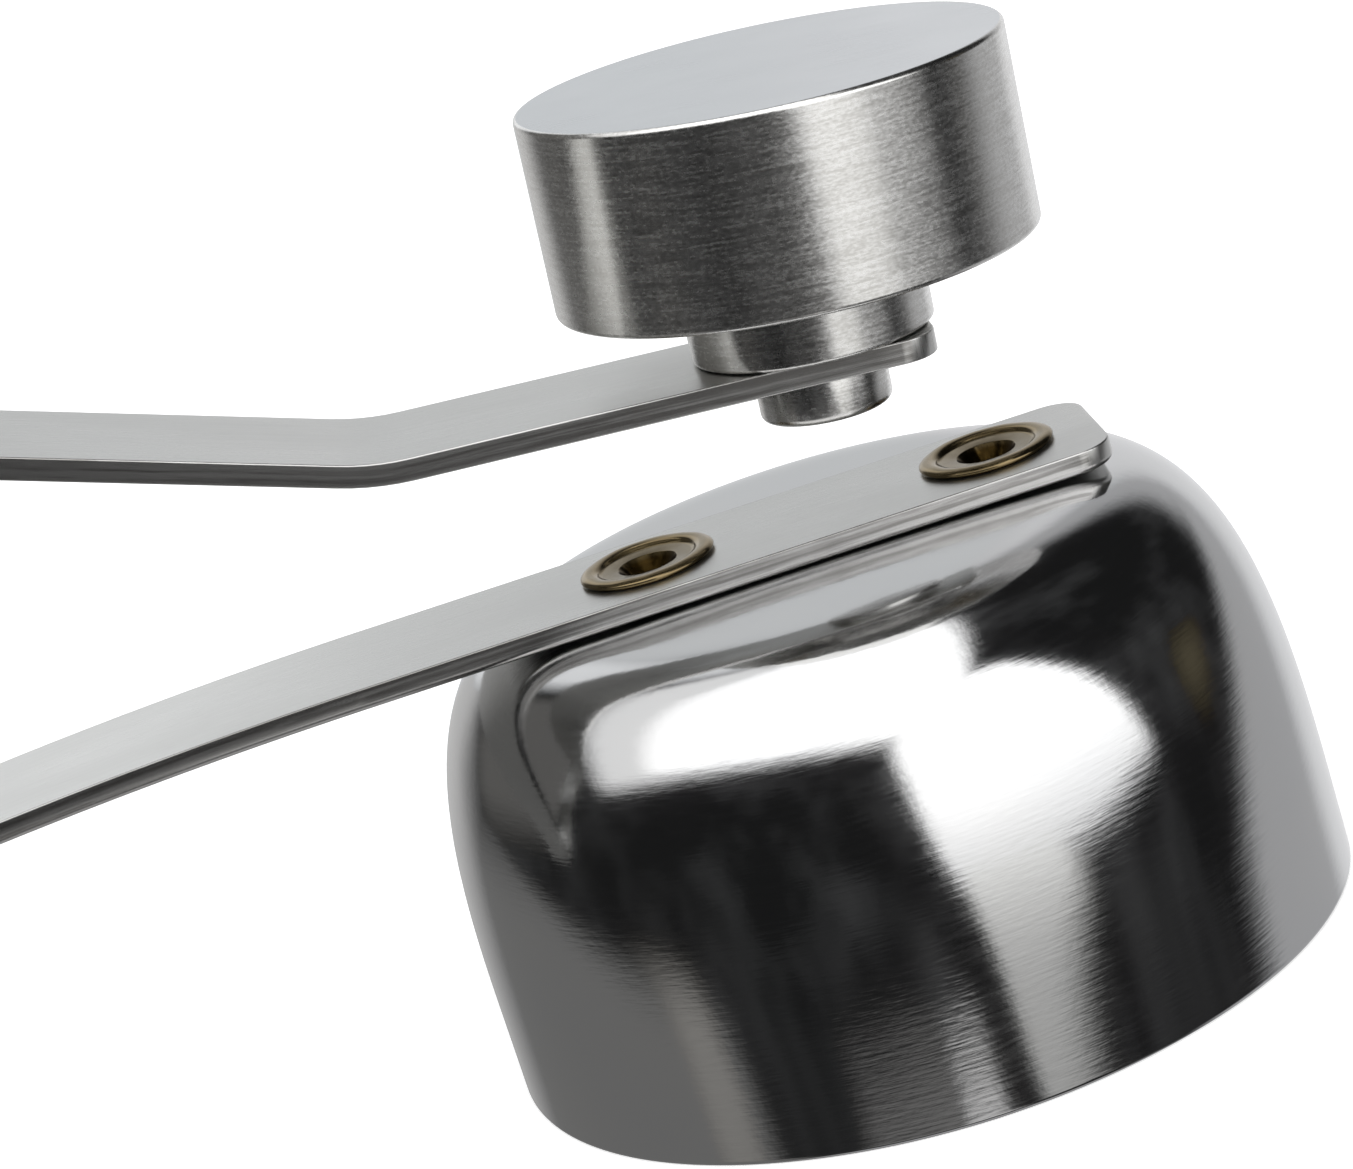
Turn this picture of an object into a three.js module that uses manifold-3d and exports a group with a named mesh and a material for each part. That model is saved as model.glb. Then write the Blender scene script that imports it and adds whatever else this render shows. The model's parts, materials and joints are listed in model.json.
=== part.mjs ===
// Spring-hammer egg topper: a deep-drawn cup that sits over the end of an egg, a U-shaped flat
// spring riveted on top of it, and a turned weight on the spring's free end. The weight is lifted
// and let go, and its striker taps the spring's lower arm so that the cup's rim scores the shell.
// Millimetres, +Z up, +X along the spring towards its two tips. The origin is on the plane that
// the cup's rim rests on, at the middle of the whole object.

import * as THREE from 'three';
import { mergeVertices } from 'three/addons/utils/BufferGeometryUtils.js';
import Module from 'manifold-3d';

const wasm = await Module();
wasm.setup();

// ---- driving dimensions ------------------------------------------------------------------

// cup, measured about its own axis
const CUP_RADIUS = 19;
const CUP_HEIGHT = 20.15;
const CUP_WALL = 1;
const CUP_SKIRT_HEIGHT = 3;
const CUP_CROWN_RADIUS = 10.6;
const SHOULDER_POWER = 3;

// the spring's flat strip
const STRIP_WIDTH = 8.7;
const STRIP_THICKNESS = 1;
const TIP_CORNER_RADIUS = 1.7;
const TIP_ALLOWANCE = 2;
const BOW_RADIUS = 22;
const BOW_SPLIT_GAP = 0.3;

// lower arm: flat on the crown, then a long downward sweep
const LOWER_TIP_X = 13.5;
const LOWER_SWEEP_X = -19.8;
const LOWER_SWEEP_RADIUS = 230;

// upper arm: a straight run up from the bow, one bend, then the seat of the weight
const UPPER_SLOPE = THREE.MathUtils.degToRad(20.15);
const SEAT_SLOPE = THREE.MathUtils.degToRad(4.95);
const SEAT_X = 2.84;
const SEAT_Z = 28.01;
const SEAT_TIP = 4.8;
const BEND_X = -16.6;
const BEND_RADIUS = 12;

// turned weight, its spacer and the striker that holds them on
const WEIGHT_RADIUS = 10.5;
const WEIGHT_HEIGHT = 8.7;
const WEIGHT_CHAMFER = 0.25;
const COLLAR_RADIUS = 5.28;
const COLLAR_HEIGHT = 3.17;
const STRIKER_RADIUS = 2.88;
const STRIKER_HEIGHT = 2.1;
const STRIKER_CHAMFER = 0.3;
const SHANK_RADIUS = 1.9;
const SHANK_DEPTH = 4.2;

// semi-tubular rivets
const RIVETS = { rivet_rear: -6.8, rivet_front: 8.6 };
const RIVET_HEAD_RADIUS = 3;
const RIVET_HEAD_HEIGHT = 0.32;
const RIVET_ROLL_WIDTH = 0.75;
const RIVET_ROLL_EDGE = 0.16;
const RIVET_DISH_RADIUS = 1.5;
const RIVET_DISH_DEPTH = 0.14;
const RIVET_SHANK_RADIUS = 1.5;
const RIVET_BORE_RADIUS = 1.1;
const FACTORY_HEAD_HEIGHT = 0.8;
const FACTORY_HEAD_CHAMFER = 0.4;

// clearances
const SEAT_GAP = 0.05;
const HOLE_CLEARANCE = 0.1;

// faceting of the round shapes
const ROUND_STEPS = 64;
const SMALL_ROUND_STEPS = 32;
const ARC_STEPS = 24;
const SHOULDER_STEPS = 12;
const CORNER_STEPS = 8;

// longer than anything they cut
const BLANK_LENGTH = 200;
const DRILL_LENGTH = 20;

// ---- derived places, in the cup's own X and Z ------------------------------------------------

const stripBottom = CUP_HEIGHT + SEAT_GAP;
const stripTop = stripBottom + STRIP_THICKNESS;
const half = STRIP_THICKNESS / 2;

const sweep = new THREE.Vector2(LOWER_SWEEP_X, stripBottom + half - LOWER_SWEEP_RADIUS);
const bendVertex = new THREE.Vector2(BEND_X, SEAT_Z + (SEAT_X - BEND_X) * Math.tan(SEAT_SLOPE));
const bow = bowCentre();
const sweepAngle = Math.atan2(sweep.x - bow.x, bow.y - sweep.y);
const lowerTangent = -Math.PI / 2 + sweepAngle;
const upperTangent = Math.PI / 2 - UPPER_SLOPE;
const splitAngle = BOW_SPLIT_GAP / 2 / BOW_RADIUS;

const rearX = bow.x - BOW_RADIUS - half;
const centreX = -(rearX + CUP_RADIUS) / 2;

// The bow touches the lower sweep from outside and the upper run from below.
function bowCentre() {
  const along = new THREE.Vector2(-Math.cos(UPPER_SLOPE), Math.sin(UPPER_SLOPE));
  const below = new THREE.Vector2(-Math.sin(UPPER_SLOPE), -Math.cos(UPPER_SLOPE));
  const start = bendVertex.clone().addScaledVector(below, BOW_RADIUS);
  const offset = start.clone().sub(sweep);
  const reach = LOWER_SWEEP_RADIUS + BOW_RADIUS;
  const b = offset.dot(along);
  const c = offset.lengthSq() - reach * reach;
  return start.addScaledVector(along, -b + Math.sqrt(b * b - c));
}

// ---- solids ------------------------------------------------------------------------------

function weld(geometry) {
  geometry.deleteAttribute('normal');
  geometry.deleteAttribute('uv');
  const welded = mergeVertices(geometry, 1e-5);
  const index = welded.getIndex().array;
  const kept = [];
  for (let i = 0; i < index.length; i += 3) {
    const [a, b, c] = index.subarray(i, i + 3);
    if (a !== b && b !== c && c !== a) kept.push(a, b, c);
  }
  welded.setIndex(kept);
  return welded;
}

function toSolid(geometry) {
  const welded = weld(geometry);
  const vertProperties = new Float32Array(welded.getAttribute('position').array);
  const triVerts = new Uint32Array(welded.getIndex().array);
  return new wasm.Manifold(new wasm.Mesh({ numProp: 3, vertProperties, triVerts }));
}

function toGeometry(solid) {
  const mesh = solid.getMesh();
  const geometry = new THREE.BufferGeometry();
  geometry.setAttribute('position', new THREE.BufferAttribute(mesh.vertProperties, 3));
  geometry.setIndex(new THREE.BufferAttribute(mesh.triVerts, 1));
  return geometry;
}

// A profile of [radius, height] pairs turned about Z. It runs up the outside.
function revolve(profile, steps) {
  const points = profile.map(([radius, height]) => new THREE.Vector2(radius, height));
  return weld(new THREE.LatheGeometry(points, steps).rotateX(Math.PI / 2));
}

// A side outline in X and Z, given the strip's width along Y.
function sideways(shape) {
  const geometry = new THREE.ExtrudeGeometry(shape, {
    depth: STRIP_WIDTH,
    bevelEnabled: false,
    curveSegments: ARC_STEPS,
  });
  return geometry.rotateX(Math.PI / 2).translate(0, STRIP_WIDTH / 2, 0);
}

// A tall blank with the strip's plan outline: square behind, corners rounded at the tip.
function planBlank(tipX) {
  const side = STRIP_WIDTH / 2;
  const r = TIP_CORNER_RADIUS;
  const shape = new THREE.Shape();
  shape.moveTo(tipX - BLANK_LENGTH, -side);
  shape.absarc(tipX - r, r - side, r, -Math.PI / 2, 0, false);
  shape.absarc(tipX - r, side - r, r, 0, Math.PI / 2, false);
  shape.lineTo(tipX - BLANK_LENGTH, side);
  const blank = new THREE.ExtrudeGeometry(shape, {
    depth: BLANK_LENGTH,
    bevelEnabled: false,
    curveSegments: CORNER_STEPS,
  });
  return blank.translate(0, 0, -BLANK_LENGTH / 2);
}

function drill(radius, x = 0) {
  const cutter = new THREE.CylinderGeometry(radius, radius, DRILL_LENGTH, SMALL_ROUND_STEPS);
  return cutter.rotateX(Math.PI / 2).translate(x, 0, 0);
}

// ---- cup ---------------------------------------------------------------------------------

// From the skirt's top edge round the shoulder to the edge of the flat crown.
function shoulder(radius, height) {
  const points = [];
  for (let i = 0; i <= SHOULDER_STEPS; i += 1) {
    const angle = (i / SHOULDER_STEPS) * Math.PI / 2;
    const across = Math.max(Math.cos(angle), 0) ** (2 / SHOULDER_POWER);
    const up = Math.sin(angle) ** (2 / SHOULDER_POWER);
    points.push([
      CUP_CROWN_RADIUS + (radius - CUP_CROWN_RADIUS) * across,
      CUP_SKIRT_HEIGHT + (height - CUP_SKIRT_HEIGHT) * up,
    ]);
  }
  return points;
}

function cup() {
  const outer = [[CUP_RADIUS, 0], ...shoulder(CUP_RADIUS, CUP_HEIGHT), [0, CUP_HEIGHT]];
  const innerRadius = CUP_RADIUS - CUP_WALL;
  const innerHeight = CUP_HEIGHT - CUP_WALL;
  const inner = [[innerRadius, 0], ...shoulder(innerRadius, innerHeight), [0, innerHeight]];
  let solid = toSolid(revolve([...inner.reverse(), ...outer], ROUND_STEPS));
  for (const x of Object.values(RIVETS)) {
    const hole = drill(RIVET_SHANK_RADIUS + HOLE_CLEARANCE, x).translate(0, 0, CUP_HEIGHT);
    solid = solid.subtract(toSolid(hole));
  }
  return toGeometry(solid);
}

// ---- spring ------------------------------------------------------------------------------

// Lower arm: tip, flat seat on the crown, long sweep, and the bow round to its rearmost point.
function springLowerArm() {
  const level = Math.PI / 2;
  const uncut = LOWER_TIP_X + TIP_ALLOWANCE;
  const shape = new THREE.Shape();
  shape.moveTo(uncut, stripBottom);
  shape.absarc(sweep.x, sweep.y, LOWER_SWEEP_RADIUS - half, level, level + sweepAngle, false);
  shape.absarc(bow.x, bow.y, BOW_RADIUS + half, lowerTangent, -Math.PI + splitAngle, true);
  shape.absarc(bow.x, bow.y, BOW_RADIUS - half, -Math.PI + splitAngle, lowerTangent, false);
  shape.absarc(sweep.x, sweep.y, LOWER_SWEEP_RADIUS + half, level + sweepAngle, level, true);
  shape.lineTo(uncut, stripTop);
  let solid = toSolid(sideways(shape)).intersect(toSolid(planBlank(LOWER_TIP_X)));
  for (const x of Object.values(RIVETS)) {
    const hole = drill(RIVET_SHANK_RADIUS + HOLE_CLEARANCE, x).translate(0, 0, stripTop);
    solid = solid.subtract(toSolid(hole));
  }
  return toGeometry(solid);
}

// Upper arm: the bow from its rearmost point, the straight run, the bend and the weight's seat.
function springUpperArm() {
  const reach = BEND_RADIUS * Math.tan((UPPER_SLOPE - SEAT_SLOPE) / 2);
  const bend = new THREE.Vector2(
    bendVertex.x + reach * Math.cos(SEAT_SLOPE) + BEND_RADIUS * Math.sin(SEAT_SLOPE),
    bendVertex.y - reach * Math.sin(SEAT_SLOPE) + BEND_RADIUS * Math.cos(SEAT_SLOPE),
  );
  const steep = -Math.PI / 2 - UPPER_SLOPE;
  const gentle = -Math.PI / 2 - SEAT_SLOPE;
  const tip = new THREE.Vector2(
    SEAT_X + (SEAT_TIP + TIP_ALLOWANCE) * Math.cos(SEAT_SLOPE),
    SEAT_Z - (SEAT_TIP + TIP_ALLOWANCE) * Math.sin(SEAT_SLOPE),
  );
  const across = new THREE.Vector2(Math.sin(SEAT_SLOPE), Math.cos(SEAT_SLOPE)).multiplyScalar(half);
  const shape = new THREE.Shape();
  shape.absarc(bow.x, bow.y, BOW_RADIUS + half, Math.PI - splitAngle, upperTangent, true);
  shape.absarc(bend.x, bend.y, BEND_RADIUS - half, steep, gentle, false);
  shape.lineTo(tip.x + across.x, tip.y + across.y);
  shape.lineTo(tip.x - across.x, tip.y - across.y);
  shape.absarc(bend.x, bend.y, BEND_RADIUS + half, gentle, steep, true);
  shape.absarc(bow.x, bow.y, BOW_RADIUS - half, upperTangent, Math.PI - splitAngle, false);
  const blank = planBlank(SEAT_TIP).applyMatrix4(seatMatrix());
  const hole = drill(SHANK_RADIUS + HOLE_CLEARANCE).applyMatrix4(seatMatrix());
  return toGeometry(toSolid(sideways(shape)).intersect(toSolid(blank)).subtract(toSolid(hole)));
}

// ---- weight, spacer and striker, about the seat's own axis -------------------------------------

// The seat frame stands on the middle of the strip's thickness, with Z square to the strip.
function seatMatrix() {
  const turn = new THREE.Matrix4().makeRotationY(SEAT_SLOPE);
  return turn.setPosition(SEAT_X, 0, SEAT_Z);
}

function hammerWeight() {
  const bottom = half + SEAT_GAP + COLLAR_HEIGHT + SEAT_GAP;
  const top = bottom + WEIGHT_HEIGHT;
  const bore = SHANK_RADIUS + HOLE_CLEARANCE;
  const roof = bottom + SHANK_DEPTH + HOLE_CLEARANCE;
  return revolve([
    [0, roof],
    [bore, roof],
    [bore, bottom],
    [WEIGHT_RADIUS - WEIGHT_CHAMFER, bottom],
    [WEIGHT_RADIUS, bottom + WEIGHT_CHAMFER],
    [WEIGHT_RADIUS, top - WEIGHT_CHAMFER],
    [WEIGHT_RADIUS - WEIGHT_CHAMFER, top],
    [0, top],
  ], ROUND_STEPS);
}

function spacerCollar() {
  const bottom = half + SEAT_GAP;
  const top = bottom + COLLAR_HEIGHT;
  const bore = SHANK_RADIUS + HOLE_CLEARANCE;
  return revolve([
    [bore, bottom],
    [COLLAR_RADIUS, bottom],
    [COLLAR_RADIUS, top],
    [bore, top],
    [bore, bottom],
  ], ROUND_STEPS);
}

function strikerStud() {
  const shoulderZ = -half - SEAT_GAP;
  const face = shoulderZ - STRIKER_HEIGHT;
  const end = half + SEAT_GAP + COLLAR_HEIGHT + SEAT_GAP + SHANK_DEPTH;
  return revolve([
    [0, face],
    [STRIKER_RADIUS - STRIKER_CHAMFER, face],
    [STRIKER_RADIUS, face + STRIKER_CHAMFER],
    [STRIKER_RADIUS, shoulderZ],
    [SHANK_RADIUS, shoulderZ],
    [SHANK_RADIUS, end - STRIKER_CHAMFER],
    [SHANK_RADIUS - STRIKER_CHAMFER, end],
    [0, end],
  ], SMALL_ROUND_STEPS);
}

// ---- rivets ------------------------------------------------------------------------------

// Factory head inside the cup, tubular shank, and the rolled ring head on top of the strip. The
// roll slopes down to a dish, and the dish to the bore. Heights are from the strip's top face.
function rivet() {
  const ceiling = CUP_HEIGHT - CUP_WALL - stripTop - SEAT_GAP;
  const crest = SEAT_GAP + RIVET_HEAD_HEIGHT;
  const dish = crest - RIVET_DISH_DEPTH;
  return revolve([
    [0, ceiling - FACTORY_HEAD_HEIGHT],
    [RIVET_HEAD_RADIUS - FACTORY_HEAD_CHAMFER, ceiling - FACTORY_HEAD_HEIGHT],
    [RIVET_HEAD_RADIUS, ceiling - FACTORY_HEAD_HEIGHT + FACTORY_HEAD_CHAMFER],
    [RIVET_HEAD_RADIUS, ceiling],
    [RIVET_SHANK_RADIUS, ceiling],
    [RIVET_SHANK_RADIUS, SEAT_GAP],
    [RIVET_HEAD_RADIUS, SEAT_GAP],
    [RIVET_HEAD_RADIUS, crest - RIVET_ROLL_EDGE],
    [RIVET_HEAD_RADIUS - RIVET_ROLL_EDGE, crest],
    [RIVET_HEAD_RADIUS - RIVET_ROLL_WIDTH, crest],
    [RIVET_DISH_RADIUS, dish],
    [RIVET_BORE_RADIUS, dish - RIVET_DISH_DEPTH],
    [RIVET_BORE_RADIUS, -STRIP_THICKNESS],
    [0, -STRIP_THICKNESS],
  ], SMALL_ROUND_STEPS);
}

// ---- assembly ----------------------------------------------------------------------------

function steel(color, roughness) {
  return new THREE.MeshStandardMaterial({ color, roughness, metalness: 1 });
}

function part(name, geometry, material) {
  const mesh = new THREE.Mesh(geometry, material);
  mesh.name = name;
  return mesh;
}

const polished = steel(0xd4d6d8, 0.08);
const satin = steel(0xb9babd, 0.3);
const turned = steel(0xa4a5a6, 0.35);
const bronze = steel(0x8a6f45, 0.35);

const hammer = new THREE.Group();
hammer.position.set(SEAT_X, 0, SEAT_Z);
hammer.rotation.y = SEAT_SLOPE;
hammer.add(part('hammer_weight', hammerWeight(), turned));
hammer.add(part('spacer_collar', spacerCollar(), turned));
hammer.add(part('striker_stud', strikerStud(), turned));

const topper = new THREE.Group();
topper.add(part('cup', cup(), polished));
topper.add(part('spring_lower_arm', springLowerArm(), satin));
topper.add(part('spring_upper_arm', springUpperArm(), satin));
for (const [name, x] of Object.entries(RIVETS)) {
  const mesh = part(name, rivet(), bronze);
  mesh.position.set(x, 0, stripTop);
  topper.add(mesh);
}
topper.add(hammer);
topper.position.x = centreX;

const assembly = new THREE.Group();
assembly.add(topper);

export default assembly;
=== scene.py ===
"""A spring-hammer egg topper: polished cup, U-shaped flat spring, two tubular rivets, turned weight.

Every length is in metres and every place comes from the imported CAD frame. The strip is one bent
piece that flexes round its bow; everything else is turned about its own axis.
"""

import json
import math
from functools import cache

import bmesh
import bpy
import numpy as np
from mathutils import Matrix, Vector, noise


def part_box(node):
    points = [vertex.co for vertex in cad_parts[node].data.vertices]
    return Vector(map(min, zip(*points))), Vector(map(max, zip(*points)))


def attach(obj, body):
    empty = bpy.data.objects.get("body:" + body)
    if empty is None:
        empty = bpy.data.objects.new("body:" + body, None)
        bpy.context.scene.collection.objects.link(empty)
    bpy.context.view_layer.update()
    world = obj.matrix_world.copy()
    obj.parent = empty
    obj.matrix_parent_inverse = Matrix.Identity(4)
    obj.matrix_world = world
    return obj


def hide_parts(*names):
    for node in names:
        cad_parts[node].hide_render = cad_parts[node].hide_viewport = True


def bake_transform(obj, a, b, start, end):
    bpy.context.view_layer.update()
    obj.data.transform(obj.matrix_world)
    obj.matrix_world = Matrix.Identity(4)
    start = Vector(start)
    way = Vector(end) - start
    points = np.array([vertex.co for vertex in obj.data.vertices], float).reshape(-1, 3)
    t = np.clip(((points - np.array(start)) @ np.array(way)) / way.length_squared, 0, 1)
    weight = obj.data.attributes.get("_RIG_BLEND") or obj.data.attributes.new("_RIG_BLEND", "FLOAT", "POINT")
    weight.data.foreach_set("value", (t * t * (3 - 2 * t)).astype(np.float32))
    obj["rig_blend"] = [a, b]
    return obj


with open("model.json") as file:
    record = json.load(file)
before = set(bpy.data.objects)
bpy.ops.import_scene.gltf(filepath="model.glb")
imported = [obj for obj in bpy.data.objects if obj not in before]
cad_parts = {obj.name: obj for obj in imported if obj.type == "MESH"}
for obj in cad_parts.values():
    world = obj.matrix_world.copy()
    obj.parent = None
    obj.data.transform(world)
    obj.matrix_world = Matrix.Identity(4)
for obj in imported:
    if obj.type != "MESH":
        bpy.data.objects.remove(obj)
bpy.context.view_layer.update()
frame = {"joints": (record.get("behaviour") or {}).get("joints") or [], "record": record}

MM = 0.001
CUP_SIDE = "cup_side"
HAMMER_SIDE = "hammer_side"

# the strip, which has the CAD strip's own outline
STRIP_THICKNESS = 1.0 * MM
INNER_EDGE = 0.07 * MM
OUTER_EDGE = 0.34 * MM
TIP_CORNER = 1.7 * MM
SEAT_GAP = 0.05 * MM
SWEEP_START = -19.8 * MM
SWEEP_RADIUS = 230 * MM
BOW_RADIUS = 22 * MM
UPPER_SLOPE = math.radians(20.15)
BEND_START = -16.6 * MM
BEND_RADIUS = 12 * MM
SEAT_TIP = 4.8 * MM

# the strip's mesh and maps
EDGE_STEPS = 6
TIP_STEPS = 8
BENT_SPACING = 0.6 * MM
STRAIGHT_SPACING = 3 * MM
ROW_MARGIN = 0.2 * MM
MAP_UNIT = 100 * MM

# how the strip's points are told apart: a level over the lower arm, and a turn round the bow that
# only a point just before the bow's start can have
ARM_SPLIT = 3 * MM
WRAPPED_TURN = math.radians(300)

# the cup's section
CUP_WALL = 1.0 * MM
CUP_SKIRT = 3.0 * MM
CUP_CROWN = 10.6 * MM
SHOULDER_POWER = 3.0
RIM_ROUND = 0.25 * MM
CROWN_DOME = 0.06 * MM
CUP_RIPPLE_SIZE = 9 * MM
CUP_RIPPLE_DEPTH = 0.02 * MM
CUP_RIPPLE_SEED = 3.7

# the turned pieces
WEIGHT_RADIUS = 10.5 * MM
WEIGHT_HEIGHT = 8.7 * MM
COLLAR_RADIUS = 5.28 * MM
COLLAR_HEIGHT = 3.17 * MM
STRIKER_RADIUS = 2.88 * MM
STRIKER_HEIGHT = 2.1 * MM
SHANK_RADIUS = 1.9 * MM
SHANK_DEPTH = 4.2 * MM
BORE_RADIUS = 2.0 * MM
BORE_SPARE = 0.1 * MM

# the turned pieces' rounded corners
WEIGHT_CORNER = 0.22 * MM
BORE_CORNER = 0.1 * MM
COLLAR_LOW_CORNER = 0.18 * MM
COLLAR_HIGH_CORNER = 0.12 * MM
STRIKER_CORNER = 0.35 * MM
SHELF_CORNER = 0.08 * MM
SHANK_FOOT_CORNER = 0.05 * MM
SHANK_END_CORNER = 0.3 * MM

# where the collar's closed outline ends, over the middle of its bore, and how close under the
# weight's top a face still counts as the flat top
BORE_SEAM = 0.2 * MM
FLAT_MARGIN = 0.01 * MM

# the rivets' radii
RIVET_HEAD = 3.0 * MM
RIVET_SHANK = 1.5 * MM
RIVET_HOLE = 1.6 * MM
RIVET_BORE = 1.1 * MM
BORE_MOUTH = RIVET_BORE + 0.22 * MM
BORE_FLOOR = RIVET_BORE - 0.25 * MM
ROLL_FOOT = RIVET_HEAD - 0.06 * MM
LEDGE_OUTER = 1.95 * MM

# the rivets' heights and depths; the bore narrows slightly, then more, and ends in a blunt cone
RIVET_HEAD_HEIGHT = 0.32 * MM
FACTORY_HEAD = 0.8 * MM
ROLL_HALF_WIDTH = 0.42 * MM
ROLL_HEIGHT = 0.2 * MM
LEDGE_DROP = 0.01 * MM
LEDGE_SLOPE = 0.06 * MM
BORE_WALL_DEPTH = 0.2 * MM
BORE_CONE_DEPTH = 0.5 * MM
BORE_DEPTH = 0.62 * MM

# the rivets' rounded corners, and their slight unevenness
FACTORY_CORNER = 0.45 * MM
FACTORY_LIP_CORNER = 0.06 * MM
MOUTH_CORNER = 0.08 * MM
WALL_CORNER = 0.04 * MM
FLOOR_CORNER = 0.1 * MM
RIVET_RIPPLE_SIZE = 1.1 * MM
RIVET_RIPPLE_DEPTH = 0.02 * MM
RIVET_SEEDS = {"rivet_rear": 1.3, "rivet_front": 5.1}

# how finely things are made
ROUND_STEPS = 192
SMALL_STEPS = 96
CORNER_STEPS = 5
RIDGE_STEPS = 10
CROWN_STEPS = 10
INNER_SHOULDER_STEPS = 40
OUTER_SHOULDER_STEPS = 64
SHARP_ANGLE = math.radians(40)
FLAT_WEIGHT = 60

# radii, angles and turns smaller than these are taken as none
NO_RADIUS = 1e-7
NO_ANGLE = 1e-4
NO_TURN = 1e-9


# ---- places from the frame ---------------------------------------------------------------


def middle(node):
    low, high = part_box(node)
    return (low + high) / 2


def mount(name):
    return next(m for m in frame["record"]["mounts"] if m["name"] == name)


cup_low, cup_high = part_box("cup")
cup_x = middle("cup").x
cup_radius = (cup_high.x - cup_low.x) / 2
cup_height = cup_high.z
strip_low, strip_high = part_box("spring_upper_arm")
strip_width = strip_high.y - strip_low.y
strip_bottom = cup_height + SEAT_GAP
strip_top = strip_bottom + STRIP_THICKNESS
lower_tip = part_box("spring_lower_arm")[1].x
hinge = Vector(frame["joints"][0]["pos_m"])

seat_axis = Vector(mount("weight_top")["axis"])
weight_bottom = STRIP_THICKNESS / 2 + SEAT_GAP + COLLAR_HEIGHT + SEAT_GAP
seat_origin = Vector(mount("weight_top")["pos_m"]) - seat_axis * (weight_bottom + WEIGHT_HEIGHT)
seat_slope = math.atan2(seat_axis.x, seat_axis.z)
seat_matrix = Matrix.Translation(seat_origin) @ Matrix.Rotation(seat_slope, 4, "Y")


# ---- meshes ------------------------------------------------------------------------------


def mesh_object(name, points, faces):
    mesh = bpy.data.meshes.new(name)
    mesh.from_pydata(points, [], faces)
    built = bmesh.new()
    built.from_mesh(mesh)
    bmesh.ops.recalc_face_normals(built, faces=built.faces)
    built.to_mesh(mesh)
    built.free()
    mesh.shade_smooth()
    piece = bpy.data.objects.new(name, mesh)
    bpy.context.scene.collection.objects.link(piece)
    return piece


def weigh_normals(piece):
    """Flats stay flat and the small rounds between them carry the turn of the light."""
    modifier = piece.modifiers.new("weighted normals", "WEIGHTED_NORMAL")
    modifier.weight = FLAT_WEIGHT
    modifier.keep_sharp = True


def rounded(corners):
    """A (radius, height) outline. Each corner is (radius, height, round), and the round is an arc."""
    outline = []
    for i, (x, z, size) in enumerate(corners):
        here = Vector((x, z))
        if size == 0 or i in (0, len(corners) - 1):
            outline.append(here)
            continue
        back = (Vector(corners[i - 1][:2]) - here).normalized()
        ahead = (Vector(corners[i + 1][:2]) - here).normalized()
        half_angle = back.angle(ahead) / 2
        reach = size / math.tan(half_angle)
        centre = here + (back + ahead).normalized() * (size / math.sin(half_angle))
        first = here + back * reach - centre
        last = here + ahead * reach - centre
        for k in range(CORNER_STEPS + 1):
            share = k / CORNER_STEPS
            spoke = first.slerp(last, share) if first.angle(last) > NO_ANGLE else first
            outline.append(centre + spoke.normalized() * size)
    return [(p.x, p.y) for p in outline]


def revolve(name, outline, steps, closed=False):
    """A (radius, height) outline turned about Z. It starts and ends on the axis, or is closed."""
    points, rings = [], []
    for radius, height in outline:
        if radius < NO_RADIUS:
            rings.append([len(points)] * steps)
            points.append((0, 0, height))
            continue
        rings.append([len(points) + k for k in range(steps)])
        for k in range(steps):
            angle = 2 * math.pi * k / steps
            points.append((radius * math.cos(angle), radius * math.sin(angle), height))
    pairs = list(zip(rings, rings[1:]))
    if closed:
        pairs.append((rings[-1], rings[0]))
    faces = []
    for low, high in pairs:
        for k in range(steps):
            after = (k + 1) % steps
            corners = [low[k], low[after], high[after], high[k]]
            face = list(dict.fromkeys(corners))
            if len(face) > 2:
                faces.append(face)
    return mesh_object(name, points, faces)


def cylinder(radius, low, high, x):
    cutter = revolve("cutter", [(0, low), (radius, low), (radius, high), (0, high)], SMALL_STEPS)
    cutter.location.x = x
    return cutter


def rivet_holes(low, high):
    """A cutter for each rivet's hole, between two heights."""
    return [cylinder(RIVET_HOLE, low, high, middle(node).x) for node in RIVET_SEEDS]


def cut(piece, cutters):
    """Takes the cutters out of the piece, and deletes them."""
    for cutter in cutters:
        modifier = piece.modifiers.new("hole", "BOOLEAN")
        modifier.operation = "DIFFERENCE"
        modifier.solver = "EXACT"
        modifier.object = cutter
        bpy.context.view_layer.update()
        evaluated = piece.evaluated_get(bpy.context.evaluated_depsgraph_get())
        made = bpy.data.meshes.new_from_object(evaluated)
        piece.modifiers.clear()
        piece.data = made
        bpy.data.objects.remove(cutter)
    piece.data.set_sharp_from_angle(angle=SHARP_ANGLE)


def ripple(piece, size, depth, seed):
    """Moves every point along its normal by smooth noise of that feature size and depth."""
    shift = Vector((seed, 2 * seed, 3 * seed))
    normals = [v.normal.copy() for v in piece.data.vertices]
    for vertex, normal in zip(piece.data.vertices, normals):
        vertex.co += normal * depth * noise.noise(vertex.co / size + shift)


# ---- cup ---------------------------------------------------------------------------------


def shoulder(radius, height, steps):
    """From the skirt's top edge round the shoulder to the edge of the flat crown."""
    outline = []
    for k in range(steps + 1):
        angle = math.pi / 2 * k / steps
        across = max(math.cos(angle), 0.0) ** (2 / SHOULDER_POWER)
        up = math.sin(angle) ** (2 / SHOULDER_POWER)
        level = CUP_SKIRT + (height - CUP_SKIRT) * up
        outline.append((CUP_CROWN + (radius - CUP_CROWN) * across, level - CROWN_DOME * up**6))
    return outline


def crown(height):
    """A very slight dome, from the edge of the crown to its middle."""
    outline = []
    for k in range(1, CROWN_STEPS + 1):
        radius = CUP_CROWN * (1 - k / CROWN_STEPS)
        outline.append((radius, height - CROWN_DOME * (radius / CUP_CROWN) ** 2))
    return outline


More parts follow.
